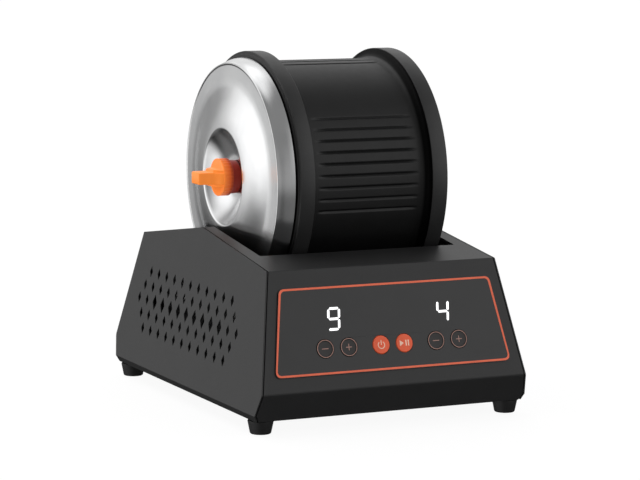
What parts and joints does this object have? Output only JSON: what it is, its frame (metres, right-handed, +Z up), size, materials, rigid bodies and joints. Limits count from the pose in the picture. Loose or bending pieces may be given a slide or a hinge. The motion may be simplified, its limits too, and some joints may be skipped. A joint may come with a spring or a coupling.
{
  "type": "rotary rock tumbler",
  "caption": "Rotary rock tumbler: rubber barrel with a stainless lid and wing knob on two driven rollers in a vented steel housing with a push-button panel.",
  "frame": {"origin": "middle of the housing's footprint, on the surface the feet stand on", "axes": "+X along the barrel's axis, away from its lid; -Y towards the control panel; +Z up"},
  "size_m": [0.1866, 0.2394, 0.2237],
  "materials": {
    "painted_steel": "satin dark grey powder coat",
    "fascia_film": "satin dark film",
    "black_rubber": "satin black",
    "stainless_steel": "polished",
    "zinc_plated_steel": "zinc plated",
    "orange_plastic": "satin orange",
    "key_plastic": "satin dark",
    "brass": "machined",
    "white_nylon": "matt white",
    "circuit_board": "green solder mask",
    "black_plastic": "matt black"
  },
  "bodies": {
    "base": {"top_cover": "painted_steel", "left_side_panel": "painted_steel", "right_side_panel": "painted_steel", "bottom_plate": "painted_steel", "left_bracket": "painted_steel", "right_bracket": "painted_steel", "well_liner": "painted_steel", "rubber_foot_front_left": "black_rubber", "rubber_foot_front_right": "black_rubber", "rubber_foot_rear_left": "black_rubber", "rubber_foot_rear_right": "black_rubber", "drive_belt": "black_rubber", "bracket_screw_1": "zinc_plated_steel", "bracket_screw_2": "zinc_plated_steel", "bracket_screw_3": "zinc_plated_steel", "bracket_screw_4": "zinc_plated_steel", "board_screw_1": "zinc_plated_steel", "board_screw_2": "zinc_plated_steel", "board_screw_3": "zinc_plated_steel", "board_screw_4": "zinc_plated_steel", "motor_screw_1": "zinc_plated_steel", "motor_screw_2": "zinc_plated_steel", "drive_bearing_left": "zinc_plated_steel", "drive_bearing_right": "zinc_plated_steel", "idler_bearing_left": "zinc_plated_steel", "idler_bearing_right": "zinc_plated_steel", "motor_gearbox": "zinc_plated_steel", "motor_can": "zinc_plated_steel", "power_inlet_nut": "zinc_plated_steel", "supply_socket": "white_nylon", "motor_socket": "white_nylon", "control_board": "circuit_board", "days_display": "black_plastic", "speed_display": "black_plastic", "power_inlet": "black_plastic", "supply_lead": "black_plastic", "motor_lead": "black_plastic", "control_fascia": "fascia_film"},
    "barrel_lift": {"mouth_gasket": "black_rubber"},
    "barrel": {"barrel_body": "black_rubber"},
    "inner_lid": {"inner_lid": "black_rubber", "lid_stud": "zinc_plated_steel"},
    "outer_lid": {"outer_lid": "stainless_steel"},
    "knob_washer": {"knob_washer": "zinc_plated_steel"},
    "knob": {"wing_knob": "orange_plastic", "knob_thread_insert": "brass"},
    "drive_roller": {"drive_shaft": "zinc_plated_steel", "drive_roller_sleeve": "black_rubber", "drive_pulley": "white_nylon"},
    "idler_roller": {"idler_shaft": "zinc_plated_steel", "idler_roller_sleeve": "black_rubber"},
    "motor_output": {"motor_output_shaft": "zinc_plated_steel", "motor_pulley": "white_nylon"},
    "days_minus_button": {"days_minus_button": "key_plastic"},
    "days_plus_button": {"days_plus_button": "key_plastic"},
    "power_button": {"power_button": "orange_plastic"},
    "start_pause_button": {"start_pause_button": "orange_plastic"},
    "speed_minus_button": {"speed_minus_button": "key_plastic"},
    "speed_plus_button": {"speed_plus_button": "key_plastic"}
  },
  "joints": [
    {"name": "barrel_lift_out", "type": "slide", "parent": "base", "child": "barrel_lift", "axis": [0, 0, 1], "range_m": [0, 0.12]},
    {"name": "barrel_spin", "type": "hinge", "parent": "barrel_lift", "child": "barrel", "pos_m": [0, 0.006, 0.1437], "axis": [1, 0, 0], "continuous": true},
    {"name": "inner_lid_pull", "type": "slide", "parent": "barrel", "child": "inner_lid", "axis": [-1, 0, 0], "range_m": [0, 0.0052]},
    {"name": "outer_lid_pull", "type": "slide", "parent": "inner_lid", "child": "outer_lid", "axis": [-1, 0, 0], "range_m": [0, 0.0052]},
    {"name": "knob_back_off", "type": "slide", "parent": "outer_lid", "child": "knob_washer", "axis": [-1, 0, 0], "range_m": [0, 0.011]},
    {"name": "knob_turn", "type": "hinge", "parent": "knob_washer", "child": "knob", "pos_m": [0, 0.006, 0.1437], "axis": [-1, 0, 0], "range_deg": [0, 1981]},
    {"name": "drive_roller_spin", "type": "hinge", "parent": "base", "child": "drive_roller", "pos_m": [0, 0.052, 0.06368], "axis": [1, 0, 0], "continuous": true},
    {"name": "idler_roller_spin", "type": "hinge", "parent": "base", "child": "idler_roller", "pos_m": [0, -0.04, 0.06368], "axis": [1, 0, 0], "continuous": true},
    {"name": "motor_spin", "type": "hinge", "parent": "base", "child": "motor_output", "pos_m": [0, 0.09, 0.038], "axis": [1, 0, 0], "continuous": true},
    {"name": "days_minus_press", "type": "slide", "parent": "base", "child": "days_minus_button", "axis": [0, 0.9605, -0.2783], "range_m": [0, 0.0005], "stiffness_N_per_m": 600},
    {"name": "days_plus_press", "type": "slide", "parent": "base", "child": "days_plus_button", "axis": [0, 0.9605, -0.2783], "range_m": [0, 0.0005], "stiffness_N_per_m": 600},
    {"name": "power_press", "type": "slide", "parent": "base", "child": "power_button", "axis": [0, 0.9605, -0.2783], "range_m": [0, 0.0005], "stiffness_N_per_m": 600},
    {"name": "start_pause_press", "type": "slide", "parent": "base", "child": "start_pause_button", "axis": [0, 0.9605, -0.2783], "range_m": [0, 0.0005], "stiffness_N_per_m": 600},
    {"name": "speed_minus_press", "type": "slide", "parent": "base", "child": "speed_minus_button", "axis": [0, 0.9605, -0.2783], "range_m": [0, 0.0005], "stiffness_N_per_m": 600},
    {"name": "speed_plus_press", "type": "slide", "parent": "base", "child": "speed_plus_button", "axis": [0, 0.9605, -0.2783], "range_m": [0, 0.0005], "stiffness_N_per_m": 600}
  ],
  "couplings": [
    {"joint": "drive_roller_spin", "follows": "barrel_spin", "ratio": -6.6667},
    {"joint": "idler_roller_spin", "follows": "barrel_spin", "ratio": -6.6667},
    {"joint": "motor_spin", "follows": "barrel_spin", "ratio": -13.333},
    {"joint": "knob_turn", "follows": "knob_back_off", "rad_per_m": 3141.6}
  ]
}
